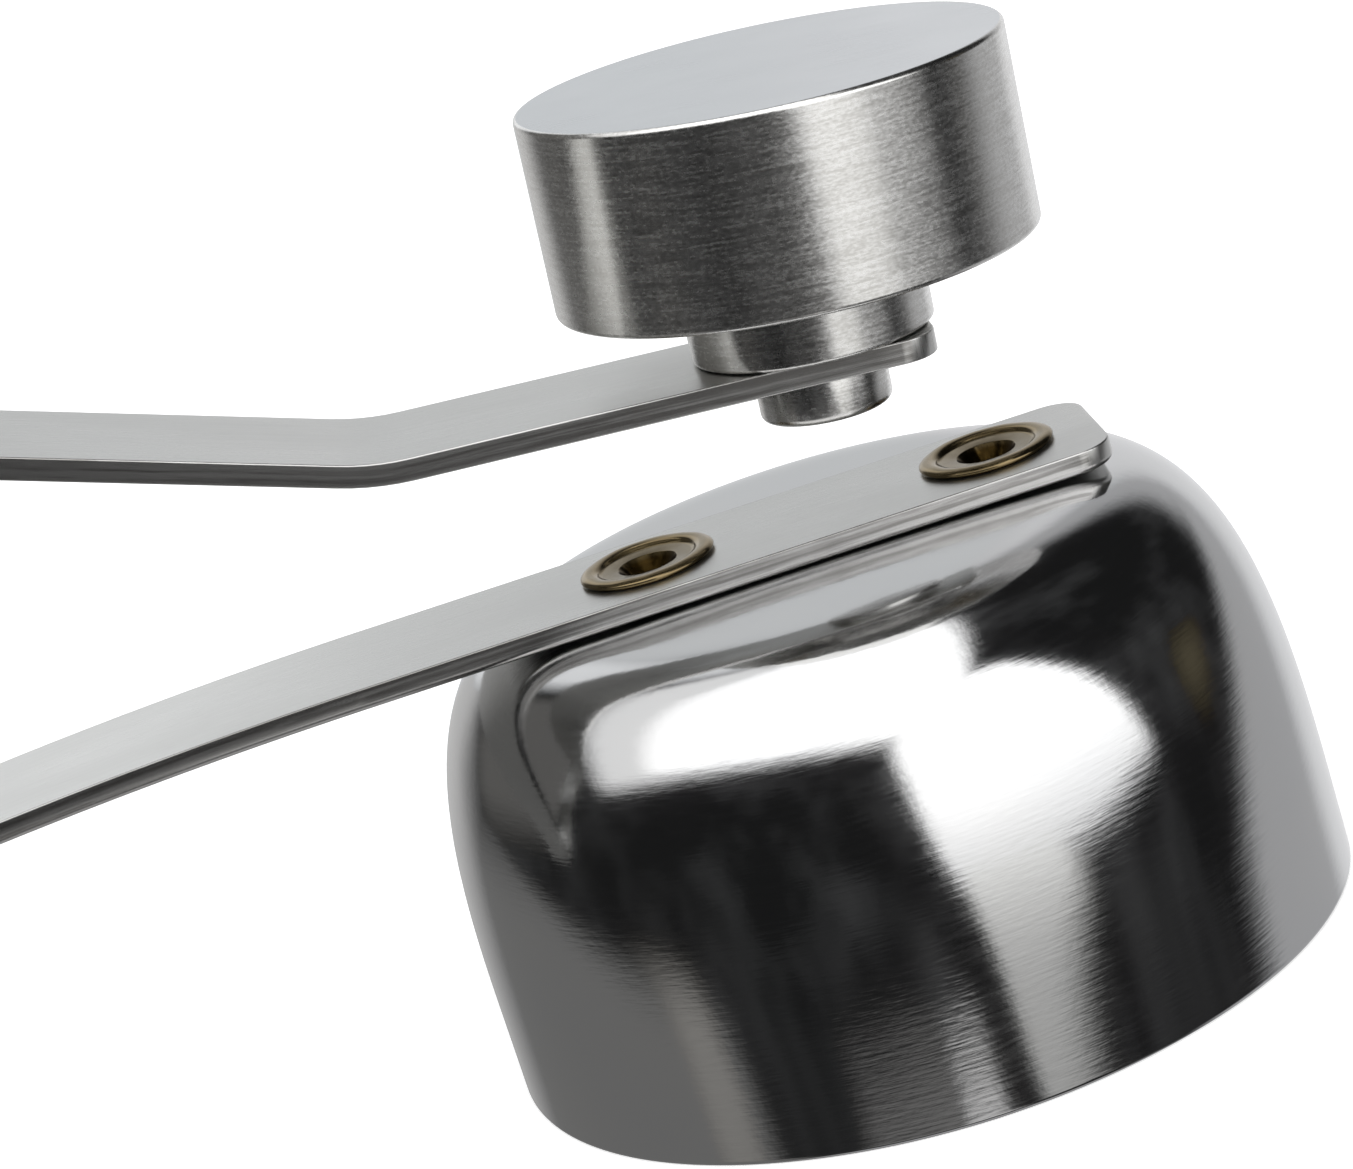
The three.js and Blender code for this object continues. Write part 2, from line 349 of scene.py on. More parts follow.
def make_cup():
    inside = cup_radius - CUP_WALL
    ceiling = cup_height - CUP_WALL
    rim = rounded(
        [
            (inside, CUP_SKIRT, 0),
            (inside, 0, RIM_ROUND),
            (cup_radius, 0, RIM_ROUND),
            (cup_radius, CUP_SKIRT, 0),
        ]
    )
    inner = shoulder(inside, ceiling, INNER_SHOULDER_STEPS)[1:] + crown(ceiling)
    outer = shoulder(cup_radius, cup_height, OUTER_SHOULDER_STEPS)[1:] + crown(cup_height)
    cup = revolve("cup_shell", inner[::-1] + rim + outer, ROUND_STEPS)
    ripple(cup, CUP_RIPPLE_SIZE, CUP_RIPPLE_DEPTH, CUP_RIPPLE_SEED)
    cup.location.x = cup_x
    cut(cup, rivet_holes(ceiling - MM, cup_height + MM))
    weigh_normals(cup)
    cup.data.materials.append(polished_steel())
    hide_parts("cup")
    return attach(cup, CUP_SIDE)


# ---- spring ------------------------------------------------------------------------------


def strip_route():
    """The strip's mid-line from the lower tip to the upper one, as (length, turn) runs.

    A run with turn 0 is straight, and a turn is in radians, positive to the left of the way it
    goes. It starts at the lower tip, heading for -X."""
    level = strip_bottom + STRIP_THICKNESS / 2
    sweep = Vector((cup_x + SWEEP_START, level - SWEEP_RADIUS))
    bow = Vector((hinge.x + BOW_RADIUS, hinge.z))
    sweep_turn = math.atan2(sweep.x - bow.x, bow.y - sweep.y)
    bow_turn = math.pi + sweep_turn + UPPER_SLOPE
    top = bow + BOW_RADIUS * Vector((math.sin(UPPER_SLOPE), math.cos(UPPER_SLOPE)))
    bend_turn = UPPER_SLOPE - seat_slope
    bend_x = cup_x + BEND_START
    bend = Vector((bend_x, seat_origin.z + (seat_origin.x - bend_x) * math.tan(seat_slope)))
    bend_reach = BEND_RADIUS * math.tan(bend_turn / 2)
    seat = Vector((seat_origin.x, seat_origin.z))
    return [
        (lower_tip - sweep.x, 0.0),
        (SWEEP_RADIUS * sweep_turn, sweep_turn),
        (BOW_RADIUS * bow_turn, -bow_turn),
        ((bend - top).length - bend_reach, 0.0),
        (BEND_RADIUS * bend_turn, bend_turn),
        ((seat - bend).length - bend_reach + SEAT_TIP, 0.0),
    ]


def along(route, distance):
    """The point and heading at that distance from the lower tip."""
    point = Vector((lower_tip, strip_bottom + STRIP_THICKNESS / 2))
    heading = math.pi
    for length, turn in route:
        step = min(distance, length)
        swept = turn * step / length
        chord = step if abs(swept) < NO_TURN else step * math.sin(swept / 2) / (swept / 2)
        middle_heading = heading + swept / 2
        point = point + chord * Vector((math.cos(middle_heading), math.sin(middle_heading)))
        heading += swept
        if distance <= length:
            break
        distance -= length
    return point, heading


def strip_rows(route):
    """Rows across the strip: (distance, out_along, out_across). The last two are the way out from
    a tip's corner centre, or straight across, to the outline."""
    total = sum(length for length, _ in route)
    angles = [math.pi / 2 * k / TIP_STEPS for k in range(TIP_STEPS + 1)]
    rows = [(TIP_CORNER, -math.cos(angle), math.sin(angle)) for angle in angles]
    start = 0.0
    for length, turn in route:
        spacing = BENT_SPACING if turn else STRAIGHT_SPACING
        pieces = max(round(length / spacing), 2)
        for k in range(1, pieces + 1):
            distance = start + length * k / pieces
            if TIP_CORNER + ROW_MARGIN < distance < total - TIP_CORNER - ROW_MARGIN:
                rows.append((distance, 0.0, 1.0))
        start += length
    for angle in angles[::-1]:
        rows.append((total - TIP_CORNER, math.cos(angle), math.sin(angle)))
    return rows


def edge_levels(outer_edge):
    """The rounded edge from the loop's outer face to its inner one: (depth, height) pairs."""
    levels = []
    for size, sign in ((outer_edge, -1), (INNER_EDGE, 1)):
        centre = sign * (STRIP_THICKNESS / 2 - size)
        for k in range(EDGE_STEPS + 1):
            turned = EDGE_STEPS - k if sign < 0 else k
            angle = math.pi / 2 * turned / EDGE_STEPS
            levels.append((size * (1 - math.cos(angle)), centre + sign * size * math.sin(angle)))
    return levels


def edge_rows(route, rows):
    """The edge's levels at every row. The outer face's edge is well rounded on the lower arm and
    gets sharper round the bow, and is as sharp as the inner one on the upper arm."""
    bow_start = route[0][0] + route[1][0]
    sides = []
    for distance, _, _ in rows:
        share = min(max((distance - bow_start) / route[2][0], 0.0), 1.0)
        sides.append(edge_levels(OUTER_EDGE + (INNER_EDGE - OUTER_EDGE) * share))
    return sides


def strip_points(route, rows, sides):
    """The points of every row, all round the strip, and their (run, across, height) on the
    strip laid out flat."""
    points, plan = [], []
    for (distance, out_along, out_across), levels in zip(rows, sides):
        for side in (1, -1):
            for depth, height in levels if side > 0 else levels[::-1]:
                run = distance + (TIP_CORNER - depth) * out_along
                across = side * (strip_width / 2 - TIP_CORNER + (TIP_CORNER - depth) * out_across)
                point, heading = along(route, run)
                inward = Vector((math.sin(heading), -math.cos(heading)))
                place = point + inward * height
                points.append((place.x, across, place.y))
                plan.append((run, across, height))
    return points, plan


def strip_faces(row_count, around):
    """The skin between the rows, and a cap of quads on each tip."""
    faces = []
    for row in range(row_count - 1):
        first = row * around
        for k in range(around):
            after = (k + 1) % around
            faces.append((first + k, first + after, first + around + after, first + around + k))
    for first in (0, (row_count - 1) * around):
        for k in range(around // 2 - 1):
            mirror = around - 1 - k
            faces.append((first + k, first + k + 1, first + mirror - 1, first + mirror))
    return faces


def make_strip():
    route = strip_route()
    rows = strip_rows(route)
    sides = edge_rows(route, rows)
    points, plan = strip_points(route, rows, sides)
    strip = mesh_object("spring_strip", points, strip_faces(len(rows), 2 * len(sides[0])))
    grain = strip.data.uv_layers.new(name="grain")
    shear = strip.data.uv_layers.new(name="shear")
    for loop in strip.data.loops:
        run, across, height = plan[loop.vertex_index]
        grain.data[loop.index].uv = (run / MAP_UNIT, across / MAP_UNIT)
        shear.data[loop.index].uv = (run / MAP_UNIT, height / MAP_UNIT)
    seat_hole = cylinder(BORE_RADIUS, -MM, MM, 0)
    seat_hole.matrix_world = seat_matrix
    cut(strip, rivet_holes(strip_bottom - MM, strip_top + MM) + [seat_hole])
    weigh_normals(strip)
    strip.data.materials.append(spring_steel())
    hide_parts("spring_lower_arm", "spring_upper_arm")
    bend_round_bow(strip, route)
    return strip


def bend_round_bow(strip, route):
    """The strip follows the cup before the bow and the weight after it, and turns evenly along the
    bow's own length in between. Ahead of the bow, a level just over the lower arm parts the arms."""
    before = route[0][0] + route[1][0]
    bow_length, bow_turn = route[2]
    first, _ = along(route, before)
    last, _ = along(route, before + bow_length)
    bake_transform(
        strip, CUP_SIDE, HAMMER_SIDE, start=(first.x, 0, first.y), end=(last.x, 0, last.y)
    )
    centre = Vector((hinge.x + BOW_RADIUS, hinge.z))
    start_angle = math.atan2(first.y - centre.y, first.x - centre.x)
    weights = []
    for vertex in strip.data.vertices:
        x, z = vertex.co.x - centre.x, vertex.co.z - centre.y
        if x > min(first.x, last.x) - centre.x:
            share = 0.0 if vertex.co.z < strip_top + ARM_SPLIT else 1.0
        else:
            swept = (start_angle - math.atan2(z, x)) % (2 * math.pi)
            share = min(swept / -bow_turn, 1.0) if swept < WRAPPED_TURN else 0.0
        weights.append(share * share * (3 - 2 * share))
    attribute = strip.data.attributes["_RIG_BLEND"]
    attribute.data.foreach_set("value", np.array(weights, np.float32))


# ---- turned pieces -----------------------------------------------------------------------


def place_turned(piece, node, *materials):
    piece.matrix_world = seat_matrix
    weigh_normals(piece)
    for material in materials:
        piece.data.materials.append(material)
    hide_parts(node)
    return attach(piece, HAMMER_SIDE)


def make_weight():
    low = weight_bottom
    high = low + WEIGHT_HEIGHT
    roof = low + SHANK_DEPTH + BORE_SPARE
    outline = rounded(
        [
            (0, roof, 0),
            (BORE_RADIUS, roof, 0),
            (BORE_RADIUS, low, BORE_CORNER),
            (WEIGHT_RADIUS, low, WEIGHT_CORNER),
            (WEIGHT_RADIUS, high, WEIGHT_CORNER),
            (0, high, 0),
        ]
    )
    weight = revolve("weight", outline, ROUND_STEPS)
    for face in weight.data.polygons:
        face.material_index = 1 if face.center.z > high - FLAT_MARGIN else 0
    return place_turned(weight, "hammer_weight", turned_steel(), faced_steel())


def make_collar():
    low = STRIP_THICKNESS / 2 + SEAT_GAP
    high = low + COLLAR_HEIGHT
    outline = rounded(
        [
            (BORE_RADIUS, (low + high) / 2, 0),
            (BORE_RADIUS, low, BORE_CORNER),
            (COLLAR_RADIUS, low, COLLAR_LOW_CORNER),
            (COLLAR_RADIUS, high, COLLAR_HIGH_CORNER),
            (BORE_RADIUS, high, BORE_CORNER),
            (BORE_RADIUS, (low + high) / 2 + BORE_SEAM, 0),
        ]
    )
    collar = revolve("collar", outline, ROUND_STEPS, closed=True)
    return place_turned(collar, "spacer_collar", turned_steel())


def make_striker():
    shelf = -STRIP_THICKNESS / 2 - SEAT_GAP
    face = shelf - STRIKER_HEIGHT
    end = weight_bottom + SHANK_DEPTH
    outline = rounded(
        [
            (0, face, 0),
            (STRIKER_RADIUS, face, STRIKER_CORNER),
            (STRIKER_RADIUS, shelf, SHELF_CORNER),
            (SHANK_RADIUS, shelf, SHANK_FOOT_CORNER),
            (SHANK_RADIUS, end, SHANK_END_CORNER),
            (0, end, 0),
        ]
    )
    striker = revolve("striker", outline, SMALL_STEPS)
    return place_turned(striker, "striker_stud", turned_steel())


# ---- rivets ------------------------------------------------------------------------------


def ridge(radius, half_width, base, height):
    """A rounded ring ridge, from its outer foot over the crest to its inner foot."""
    outline = []
    for k in range(RIDGE_STEPS + 1):
        angle = math.pi * k / RIDGE_STEPS
        outline.append((radius + half_width * math.cos(angle), base + height * math.sin(angle)))
    return outline


def make_rivet(node):
    """Factory head inside the cup, shank, and a rolled ring head on top of the strip. The roll
    falls to a ledge, and the ledge to a blind bore. Heights are from the strip's top."""
    ceiling = cup_height - CUP_WALL - strip_top - SEAT_GAP
    ledge = SEAT_GAP + RIVET_HEAD_HEIGHT - ROLL_HEIGHT
    below = rounded(
        [
            (0, ceiling - FACTORY_HEAD, 0),
            (RIVET_HEAD, ceiling - FACTORY_HEAD, FACTORY_CORNER),
            (RIVET_HEAD, ceiling, FACTORY_LIP_CORNER),
            (RIVET_SHANK, ceiling, 0),
            (RIVET_SHANK, SEAT_GAP, 0),
            (ROLL_FOOT, SEAT_GAP, 0),
        ]
    )
    roll = ridge(RIVET_HEAD - ROLL_HALF_WIDTH, ROLL_HALF_WIDTH, ledge, ROLL_HEIGHT)
    inside = rounded(
        [
            (LEDGE_OUTER, ledge - LEDGE_DROP, 0),
            (BORE_MOUTH, ledge - LEDGE_DROP - LEDGE_SLOPE, MOUTH_CORNER),
            (RIVET_BORE, -BORE_WALL_DEPTH, WALL_CORNER),
            (BORE_FLOOR, -BORE_CONE_DEPTH, FLOOR_CORNER),
            (0, -BORE_DEPTH, 0),
        ]
    )
    rivet = revolve(node + "_fine", below + roll + inside, SMALL_STEPS)
    ripple(rivet, RIVET_RIPPLE_SIZE, RIVET_RIPPLE_DEPTH, RIVET_SEEDS[node])
    rivet.location = (middle(node).x, 0, strip_top)
    weigh_normals(rivet)
    rivet.data.materials.append(rivet_bronze())
    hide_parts(node)
    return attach(rivet, CUP_SIDE)


# ---- materials ---------------------------------------------------------------------------

# Each pair of colours is a metal's darker and lighter one. In the materials below, a noise's scale
# is in features per metre, or per map unit on the strip, and a bump's depth is a length.
POLISHED = [(0.57, 0.577, 0.59, 1), (0.62, 0.615, 0.608, 1)]
ROLLED = [(0.626, 0.627, 0.612, 1), (0.682, 0.68, 0.663, 1)]
SHEARED = [(0.28, 0.272, 0.262, 1), (0.57, 0.565, 0.555, 1)]
TURNED = [(0.63, 0.62, 0.6, 1), (0.86, 0.855, 0.84, 1)]
GROUND = [(0.65, 0.672, 0.694, 1), (0.705, 0.725, 0.745, 1)]
# the lighter bronze goes on the rivets' crests by height: partly wear, partly a painted highlight
BRONZE = [(0.19, 0.146, 0.076, 1), (0.28, 0.213, 0.115, 1)]
# the rivets' darkest colour, put down the bore and at the head's foot on the strip: partly dark patina,
# partly painted shade
BRONZE_PATINA_AND_SHADE = (0.07, 0.043, 0.012, 1)
EDGE_INSET = 0.12 * MM
EDGE_FADE = 0.08 * MM
EDGE_ROUGHNESS = 0.25


class Nodes:
    """A short way to add nodes to a material or a world, and to link them."""

    def __init__(self, tree):
        self.tree = tree
        tree.nodes.clear()

    def add(self, kind, inputs=None, **settings):
        node = self.tree.nodes.new(kind)
        for key, value in settings.items():
            setattr(node, key, value)
        for key, value in (inputs or {}).items():
            if isinstance(value, bpy.types.NodeSocket):
                self.tree.links.new(value, node.inputs[key])
            else:
                node.inputs[key].default_value = value
        return node

    def noise(self, vector, scale, detail=2.0, roughness=0.5):
        inputs = {"Vector": vector, "Scale": scale, "Detail": detail, "Roughness": roughness}
        return self.add("ShaderNodeTexNoise", inputs).outputs["Fac"]

    def stretch(self, vector, scale):
        return self.add("ShaderNodeMapping", {"Vector": vector, "Scale": scale}).outputs["Vector"]

    def spread(self, value, low, high, to_low, to_high, smooth=False):
        inputs = {"Value": value, "From Min": low, "From Max": high}
        node = self.add("ShaderNodeMapRange", {**inputs, "To Min": to_low, "To Max": to_high})
        if smooth:
            node.interpolation_type = "SMOOTHSTEP"
        return node.outputs["Result"]

    def math(self, operation, a, b=0.0):
        return self.add("ShaderNodeMath", {0: a, 1: b}, operation=operation).outputs[0]

    def blend(self, share, a, b, kind="MIX"):
        """Two colours together. A colour mix has them in its sockets 6 and 7, and its sum in 2."""
        inputs = {0: share, 6: a, 7: b}
        node = self.add("ShaderNodeMix", inputs, data_type="RGBA", blend_type=kind)
        return node.outputs[2]

    def bump(self, height, depth, normal=None):
        inputs = {"Height": height, "Distance": depth, "Strength": 1.0}
        if normal is not None:
            inputs["Normal"] = normal
        return self.add("ShaderNodeBump", inputs).outputs["Normal"]

    def metal(self, color, roughness, normal, **more):
        inputs = {"Base Color": color, "Roughness": roughness, "Normal": normal, "Metallic": 1.0}
        shader = self.add("ShaderNodeBsdfPrincipled", {**inputs, **more})
        self.add("ShaderNodeOutputMaterial", {"Surface": shader.outputs[0]})


def new_material(name):
    material = bpy.data.materials.new(name)
    material.use_nodes = True
    return material, Nodes(material.node_tree)


@cache
def polished_steel():
    """Mirror polish, with fine polishing lines round the cup over the orange peel of the drawing."""
    material, nodes = new_material("polished steel")
    place = nodes.add("ShaderNodeTexCoord").outputs["Object"]
    peel = nodes.noise(place, 2400, 2.0)
    wave = nodes.noise(place, 230, 1.0)
    lines = nodes.noise(nodes.stretch(place, (700, 700, 6500)), 1.0, 2.0)
    normal = nodes.bump(wave, 0.012 * MM)
    normal = nodes.bump(peel, 0.0022 * MM, normal)
    normal = nodes.bump(lines, 0.0032 * MM, normal)
    cloud = nodes.noise(place, 120, 3.0)
    roughness = nodes.spread(nodes.math("ADD", cloud, lines), 0.7, 1.3, 0.07, 0.13)
    nodes.metal(nodes.blend(cloud, *POLISHED), roughness, normal)
    return material


@cache
def spring_steel():
    """Satin rolled strip with its grain along the strip. Its sheared edges are darker, with
    burnished and torn lines that run along them."""
    material, nodes = new_material("spring steel")
    plan = nodes.add("ShaderNodeUVMap", uv_map="grain").outputs["UV"]
    grain = nodes.noise(nodes.stretch(plan, (12, 900, 1)), 1.0, 3.0, 0.6)
    fine = nodes.noise(nodes.stretch(plan, (70, 2400, 1)), 1.0, 1.0)
    cloud = nodes.noise(nodes.stretch(plan, (7, 16, 1)), 1.0, 2.0)
    across = nodes.add("ShaderNodeSeparateXYZ", {"Vector": plan}).outputs["Y"]
    inner = strip_width / 2 - EDGE_INSET
    outer = inner + EDGE_FADE
    edge = nodes.spread(nodes.math("ABSOLUTE", across), inner / MAP_UNIT, outer / MAP_UNIT, 0, 1)
    side = nodes.add("ShaderNodeUVMap", uv_map="shear").outputs["UV"]
    bands = nodes.noise(nodes.stretch(side, (3.5, 330, 1)), 1.0, 3.0, 0.6)
    torn = nodes.noise(nodes.stretch(side, (60, 900, 1)), 1.0, 2.0, 0.5)
    lines = nodes.math("ADD", bands, nodes.math("MULTIPLY", torn, 0.25))
    burnish = nodes.spread(lines, 0.5, 0.75, 0, 1, smooth=True)
    face_normal = nodes.bump(nodes.math("ADD", grain, fine), 0.001 * MM)
    edge_depth = nodes.math("MULTIPLY", edge, lines)
    normal = nodes.bump(edge_depth, 0.003 * MM, face_normal)
    satin = nodes.spread(nodes.math("ADD", cloud, fine), 0.7, 1.3, 0.25, 0.34)
    rough = {0: edge, 2: satin, 3: EDGE_ROUGHNESS}
    roughness = nodes.add("ShaderNodeMix", rough, data_type="FLOAT").outputs[0]
    flat = nodes.blend(nodes.spread(grain, 0.3, 0.7, 0, 1), *ROLLED)
    tint = nodes.blend(edge, flat, nodes.blend(burnish, *SHEARED))
    nodes.metal(tint, roughness, normal)
    return material


@cache
def turned_steel():
    """Turned and brushed round its axis, with fine even lines and a slight speckle."""
    material, nodes = new_material("turned steel")
    place = nodes.add("ShaderNodeTexCoord").outputs["Object"]
    rings = nodes.noise(nodes.stretch(place, (520, 520, 9000)), 1.0, 2.0, 0.5)
    speckle = nodes.noise(nodes.stretch(place, (4500, 4500, 9000)), 1.0, 1.0)
    grain = nodes.math("ADD", rings, speckle)
    normal = nodes.bump(grain, 0.0011 * MM)
    roughness = nodes.spread(grain, 0.7, 1.3, 0.21, 0.29)
    tint = nodes.blend(nodes.spread(grain, 0.75, 1.25, 0, 1), *TURNED)
    tangent = nodes.add("ShaderNodeTangent", direction_type="RADIAL", axis="Z").outputs[0]
    brushed = {"Anisotropic": 0.7, "Anisotropic Rotation": 0.25, "Tangent": tangent}
    nodes.metal(tint, roughness, normal, **brushed)
    return material


@cache
def faced_steel():
    """The weight's flat top, ground with fine straight lines."""
    material, nodes = new_material("faced steel")
    place = nodes.add("ShaderNodeTexCoord").outputs["Object"]
    lines = nodes.noise(nodes.stretch(place, (130, 5200, 1)), 1.0, 2.0)
    cloud = nodes.noise(place, 190, 2.0)
    normal = nodes.bump(lines, 0.0009 * MM)
    roughness = nodes.spread(nodes.math("ADD", lines, cloud), 0.7, 1.3, 0.21, 0.28)
    nodes.metal(nodes.blend(lines, *GROUND), roughness, normal)
    return material


@cache
def rivet_bronze():
    """Antique bronze with a random patina. Its colour goes by height: lighter on the crests, partly wear and
    partly a painted highlight, and dark brown down the bore and darker down the head's side to the strip,
    partly dark patina and partly painted shade.
    """
    material, nodes = new_material("rivet bronze")
    place = nodes.add("ShaderNodeTexCoord").outputs["Object"]
    height = nodes.add("ShaderNodeSeparateXYZ", {"Vector": place}).outputs["Z"]
    patina = nodes.noise(place, 1500, 4.0)
    # lighter towards the crests: partly wear, partly a painted highlight
    crest_wear_and_highlight = nodes.spread(height, 0.12 * MM, 0.34 * MM, 0.0, 1.0)
    share = nodes.math("MULTIPLY", crest_wear_and_highlight, nodes.spread(patina, 0.35, 0.65, 0.45, 1.0))
    # darker from the ledge down into the bore and down the head's side to the strip: partly dark patina,
    # partly painted shade
    patina_and_shade = nodes.spread(height, -0.1 * MM, 0.16 * MM, 0.0, 1.0)
    tint = nodes.blend(patina_and_shade, BRONZE_PATINA_AND_SHADE, nodes.blend(share, *BRONZE))
    normal = nodes.bump(patina, 0.006 * MM)
    roughness = nodes.spread(patina, 0.3, 0.7, 0.12, 0.24)
    nodes.metal(tint, roughness, normal)
    return material


# ---- studio ------------------------------------------------------------------------------


def toward(azimuth, elevation):
    """The direction at that azimuth, 0 towards -Y and positive towards +X, and elevation."""
    a, e = math.radians(azimuth), math.radians(elevation)
    return Vector((math.sin(a) * math.cos(e), -math.cos(a) * math.cos(e), math.sin(e)))


# Each softbox, window or wall is a convex outline of (azimuth, elevation, softness) corners as seen
# from the object, in degrees. A corner's softness is for the edge from it to the next corner.
OVERHEAD_BOX = [(-85, 19, 5), (24, 20, 3), (161, 60, 4), (-150, 51, 5)]
OVERHEAD_CORE = [(-76, 25, 5), (24, 20, 3), (161, 60, 4), (-134, 61, 12)]
WINDOW = [
    (1, 24, 3), (4.5, -6, 2.5), (8.5, -13, 4), (40, -13.5, 4), (72, -6.5, 4),
    (68, 3, 4), (61, 22, 4), (48, 43, 4), (12, 46, 4),
]
WINDOW_FOOT = [
    (4, -3, 3), (12.5, -25, 2.5), (15, -32, 3), (25, -28, 6), (41, -15.5, 5), (30, 5, 4),
]
RIGHT_WALL = [
    (66, -38, 7), (88, -21, 7), (113, -2.5, 7), (134, 13, 8), (178, 33.5, 8), (178, -50, 8),
]
RIGHT_WALL_TOP = [(126, 8, 8), (150, 32, 9), (176, 46, 10), (178, 0, 8)]
RIGHT_WALL_REAR = [(120, -50, 16), (136, 10, 14), (160, 30, 10), (178, 40, 8), (178, -50, 8)]
LEFT_WALL = [
    (-146, -27, 22), (-137, -8, 16), (-146, 11, 9), (-162, 18, 8), (178, 22, 8), (178, -27, 20),
]
LEFT_DUSK = [
    (-150, 20, 6), (-146, 50, 6), (-108, 46, 4), (-92, 20, 4), (-100, 2, 8), (-134, -6, 8),
]
LEFT_FLOOR = [
    (-54, -34, 4), (-64, -17, 4), (-92, -13, 5), (-118, -6, 9), (-170, -6, 8), (-178, -60, 8),
]
LEFT_FLOOR_EDGE = [(-56, -34, 4), (-66, -17, 4), (-80, -14.5, 8), (-80, -34, 14)]
BACKDROP = [
    (150, -40, 7), (151, 20, 7), (170, 33, 9), (-165, 28, 9), (-154, 12, 8), (172, -40, 8),
]
BACKDROP_SIDE = [(-180, 0, 7), (-180, 60, 8), (-160, 56, 7), (-156, 4, 7)]
FRONT_FLOOR = [(-40, -44, 5), (-34, -24, 4), (-8, -22, 4), (8, -27, 4), (10, -44, 4)]
FRONT_GLOW = [(-10, -44, 3), (-8, -24, 2.5), (2.5, -23, 2.5), (10, -44, 3)]
OLIVE_CLOTH = [(88, 5, 6), (86, -7, 6), (97, -9, 6), (104, 3, 6)]

# the outlines with their colours and brightnesses
PANELS = [
    (OVERHEAD_BOX, (1, 1, 1), 1.1),
    (OVERHEAD_CORE, (1, 1, 1), 1.85),
    (RIGHT_WALL, (0.98, 0.985, 1), 0.5),
    (RIGHT_WALL_TOP, (0.98, 0.985, 1), 0.5),
    (RIGHT_WALL_REAR, (0.98, 0.985, 1), 0.85),
    (LEFT_WALL, (1, 0.995, 0.99), 0.6),
    (LEFT_DUSK, (1, 0.98, 0.94), 0.14),
    (LEFT_FLOOR, (1, 0.995, 0.98), 0.2),
    (LEFT_FLOOR_EDGE, (1, 0.97, 0.92), 0.3),
    (BACKDROP, (0.965, 0.985, 1), 0.75),
    (BACKDROP_SIDE, (0.97, 0.985, 1), 1.02),
    (FRONT_FLOOR, (1, 0.98, 0.96), 0.22),
    (FRONT_GLOW, (1, 0.99, 0.98), 0.75),
    (OLIVE_CLOTH, (1, 0.86, 0.55), 0.1),
]
WINDOW_PANELS = [(WINDOW, (1, 1, 1), 1.85), (WINDOW_FOOT, (1, 1, 0.98), 1.85)]

# the dark room between the panels, whose clutter is up to so many times lighter
ROOM_COLOR = (0.97, 0.985, 1)
ROOM_LIGHT = 0.014
CLUTTER_SCALE = 3.1
CLUTTER_GAIN = 4.5

# Heights on the unit sphere of directions. The pool of light straight below fades out from its LOW
# to its HIGH, and the windows go from a share of their light to all of it.
POOL_LOW = -0.97
POOL_HIGH = -0.80
POOL_LIGHT = 0.45
FOOT_LOW = -0.48
FOOT_HIGH = 0.12
FOOT_SHARE = 0.27

FLOOR_HALF = 4.0
PAPER = (0.8, 0.8, 0.8, 1)
PAPER_GLOW = 0.62


def panel_mask(nodes, direction, corners):
    """1 inside the outline and 0 outside it. Each edge is a plane through the object."""
    ways = [toward(azimuth, elevation) for azimuth, elevation, _ in corners]
    inside = sum(ways, Vector((0, 0, 0))).normalized()
    mask = None
    for i, (_, _, softness) in enumerate(corners):
        side = ways[i].cross(ways[(i + 1) % len(ways)]).normalized()
        side *= 1 if side.dot(inside) > 0 else -1
        inputs = {0: direction, 1: side}
        reach = nodes.add("ShaderNodeVectorMath", inputs, operation="DOT_PRODUCT").outputs["Value"]
        soft = math.sin(math.radians(softness))
        edge = nodes.spread(reach, -soft, soft, 0, 1, smooth=True)
        mask = edge if mask is None else nodes.math("MULTIPLY", mask, edge)
    return mask


def glow(nodes, mask, color, strength):
    """The colour at that strength where the mask is 1."""
    inputs = {0: [c * strength for c in color], "Scale": mask}
    return nodes.add("ShaderNodeVectorMath", inputs, operation="SCALE").outputs["Vector"]


def make_world():
    """White to the camera, and to the metal a dark room with soft lights round the object."""
    world = bpy.data.worlds.new("studio")
    bpy.context.scene.world = world
    world.use_nodes = True
    nodes = Nodes(world.node_tree)
    direction = nodes.add("ShaderNodeTexCoord").outputs["Generated"]
    height = nodes.add("ShaderNodeSeparateXYZ", {"Vector": direction}).outputs["Z"]
    clutter = nodes.noise(direction, CLUTTER_SCALE, 3.0, 0.55)
    room = glow(nodes, nodes.spread(clutter, 0.45, 0.75, 1.0, CLUTTER_GAIN), ROOM_COLOR, ROOM_LIGHT)
    below = nodes.spread(height, POOL_LOW, POOL_HIGH, POOL_LIGHT, 0.0, smooth=True)
    light = nodes.blend(1.0, room, glow(nodes, below, (1, 1, 1), 1), "LIGHTEN")
    for corners, color, strength in PANELS:
        mask = panel_mask(nodes, direction, corners)
        light = nodes.blend(1.0, light, glow(nodes, mask, color, strength), "LIGHTEN")
    fade = nodes.spread(height, FOOT_LOW, FOOT_HIGH, FOOT_SHARE, 1.0, smooth=True)
    for corners, color, strength in WINDOW_PANELS:
        mask = nodes.math("MULTIPLY", panel_mask(nodes, direction, corners), fade)
        light = nodes.blend(1.0, light, glow(nodes, mask, color, strength), "LIGHTEN")
    seen = nodes.add("ShaderNodeLightPath").outputs["Is Camera Ray"]
    shown = nodes.blend(seen, light, (1, 1, 1, 1))
    background = nodes.add("ShaderNodeBackground", {"Color": shown, "Strength": 1.0})
    nodes.add("ShaderNodeOutputWorld", {"Surface": background.outputs[0]})


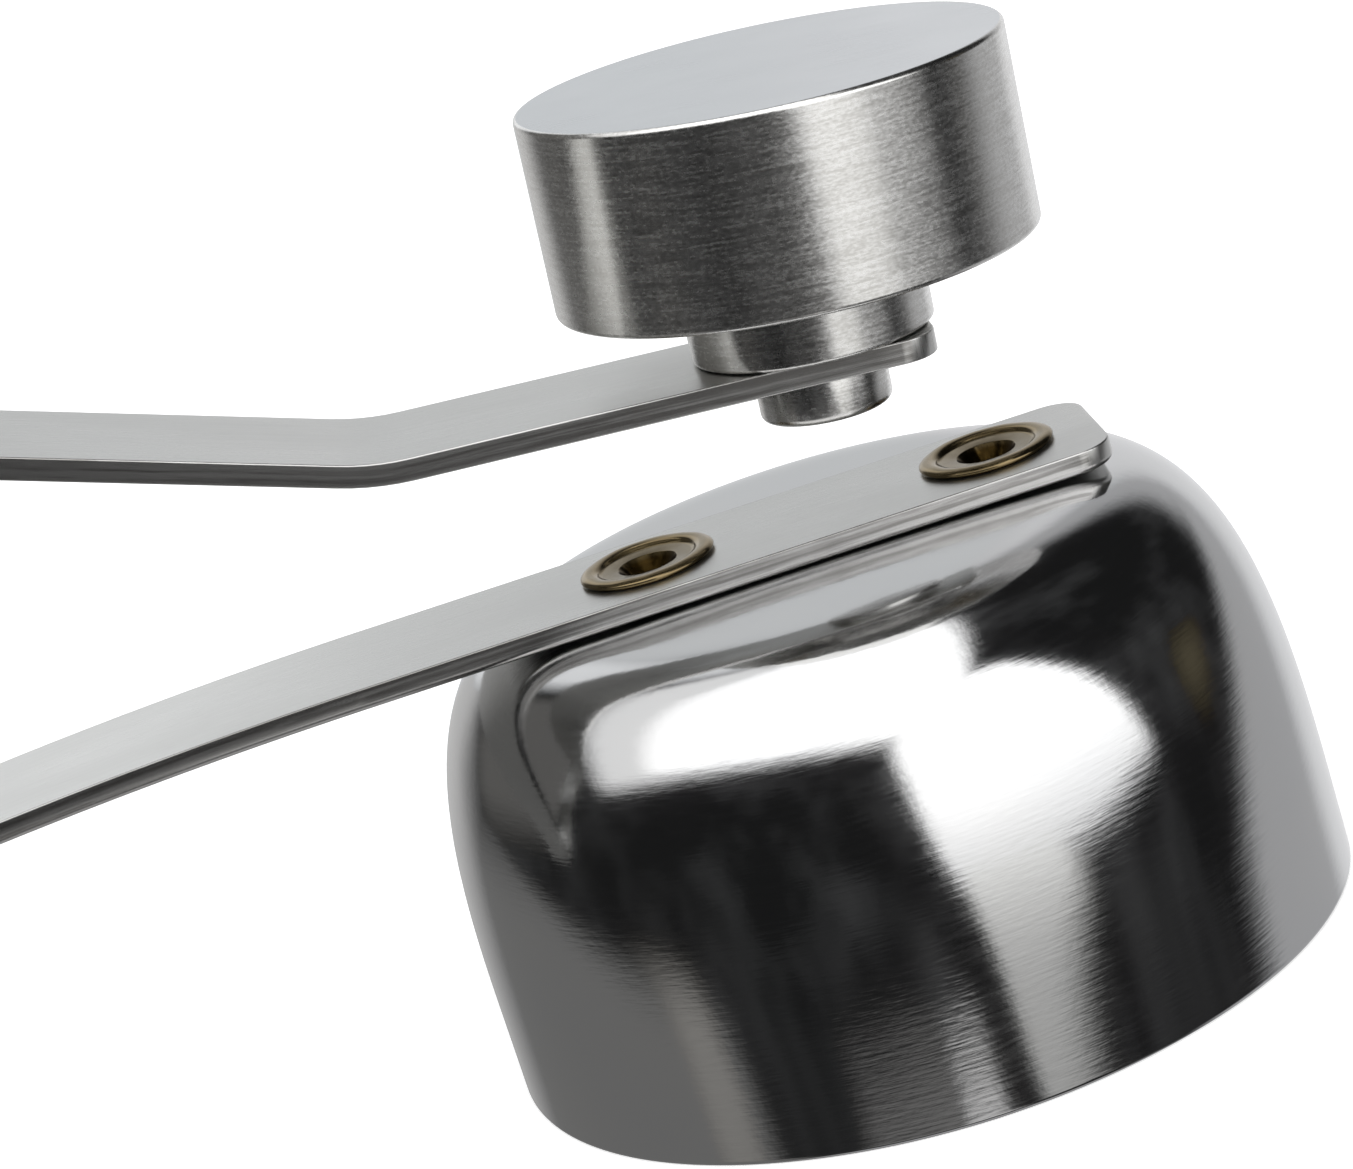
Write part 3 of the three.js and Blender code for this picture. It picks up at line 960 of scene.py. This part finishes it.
def make_floor():
    """A sheet of lit white paper, which the metal doesn't mirror."""
    corners = [(x * FLOOR_HALF, y * FLOOR_HALF, 0) for x, y in ((-1, -1), (1, -1), (1, 1), (-1, 1))]
    floor = mesh_object("floor", corners, [(0, 1, 2, 3)])
    material, nodes = new_material("floor")
    paper = {"Base Color": PAPER, "Roughness": 1.0, "Emission Strength": PAPER_GLOW}
    shader = nodes.add("ShaderNodeBsdfPrincipled", {**paper, "Emission Color": (1, 1, 1, 1)})
    nodes.add("ShaderNodeOutputMaterial", {"Surface": shader.outputs[0]})
    floor.data.materials.append(material)
    floor.visible_glossy = False


# ---- camera ------------------------------------------------------------------------------

CAMERA_AZIMUTH = -1.66
CAMERA_ELEVATION = 16.49
CAMERA_ROLL = math.radians(17.72)
CAMERA_DISTANCE = 189.04 * MM
CAMERA_RIGHT = -11.42 * MM
CAMERA_UP = 16.4 * MM
CAMERA_VIEW = math.radians(18.12)


def make_camera():
    """It looks at the cup's rim plane from a little above, tilted, with the cup low and right."""
    back = toward(CAMERA_AZIMUTH, CAMERA_ELEVATION)
    azimuth = math.radians(CAMERA_AZIMUTH)
    level = Vector((math.cos(azimuth), math.sin(azimuth), 0))
    upright = back.cross(level)
    c, s = math.cos(CAMERA_ROLL), math.sin(CAMERA_ROLL)
    right = c * level - s * upright
    up = s * level + c * upright
    place = Vector((cup_x, 0, 0)) + CAMERA_RIGHT * right + CAMERA_UP * up + CAMERA_DISTANCE * back
    data = bpy.data.cameras.new("camera")
    data.angle = CAMERA_VIEW
    data.clip_start = 10 * MM
    camera = bpy.data.objects.new("camera", data)
    bpy.context.scene.collection.objects.link(camera)
    turn = Matrix((right, up, back)).transposed()
    camera.matrix_world = Matrix.Translation(place) @ turn.to_4x4()
    bpy.context.scene.camera = camera


# ---- scene -------------------------------------------------------------------------------

make_camera()
make_world()
make_floor()
bpy.context.scene.view_settings.view_transform = "Standard"

make_cup()
make_strip()
make_weight()
make_collar()
make_striker()
make_rivet("rivet_rear")
make_rivet("rivet_front")
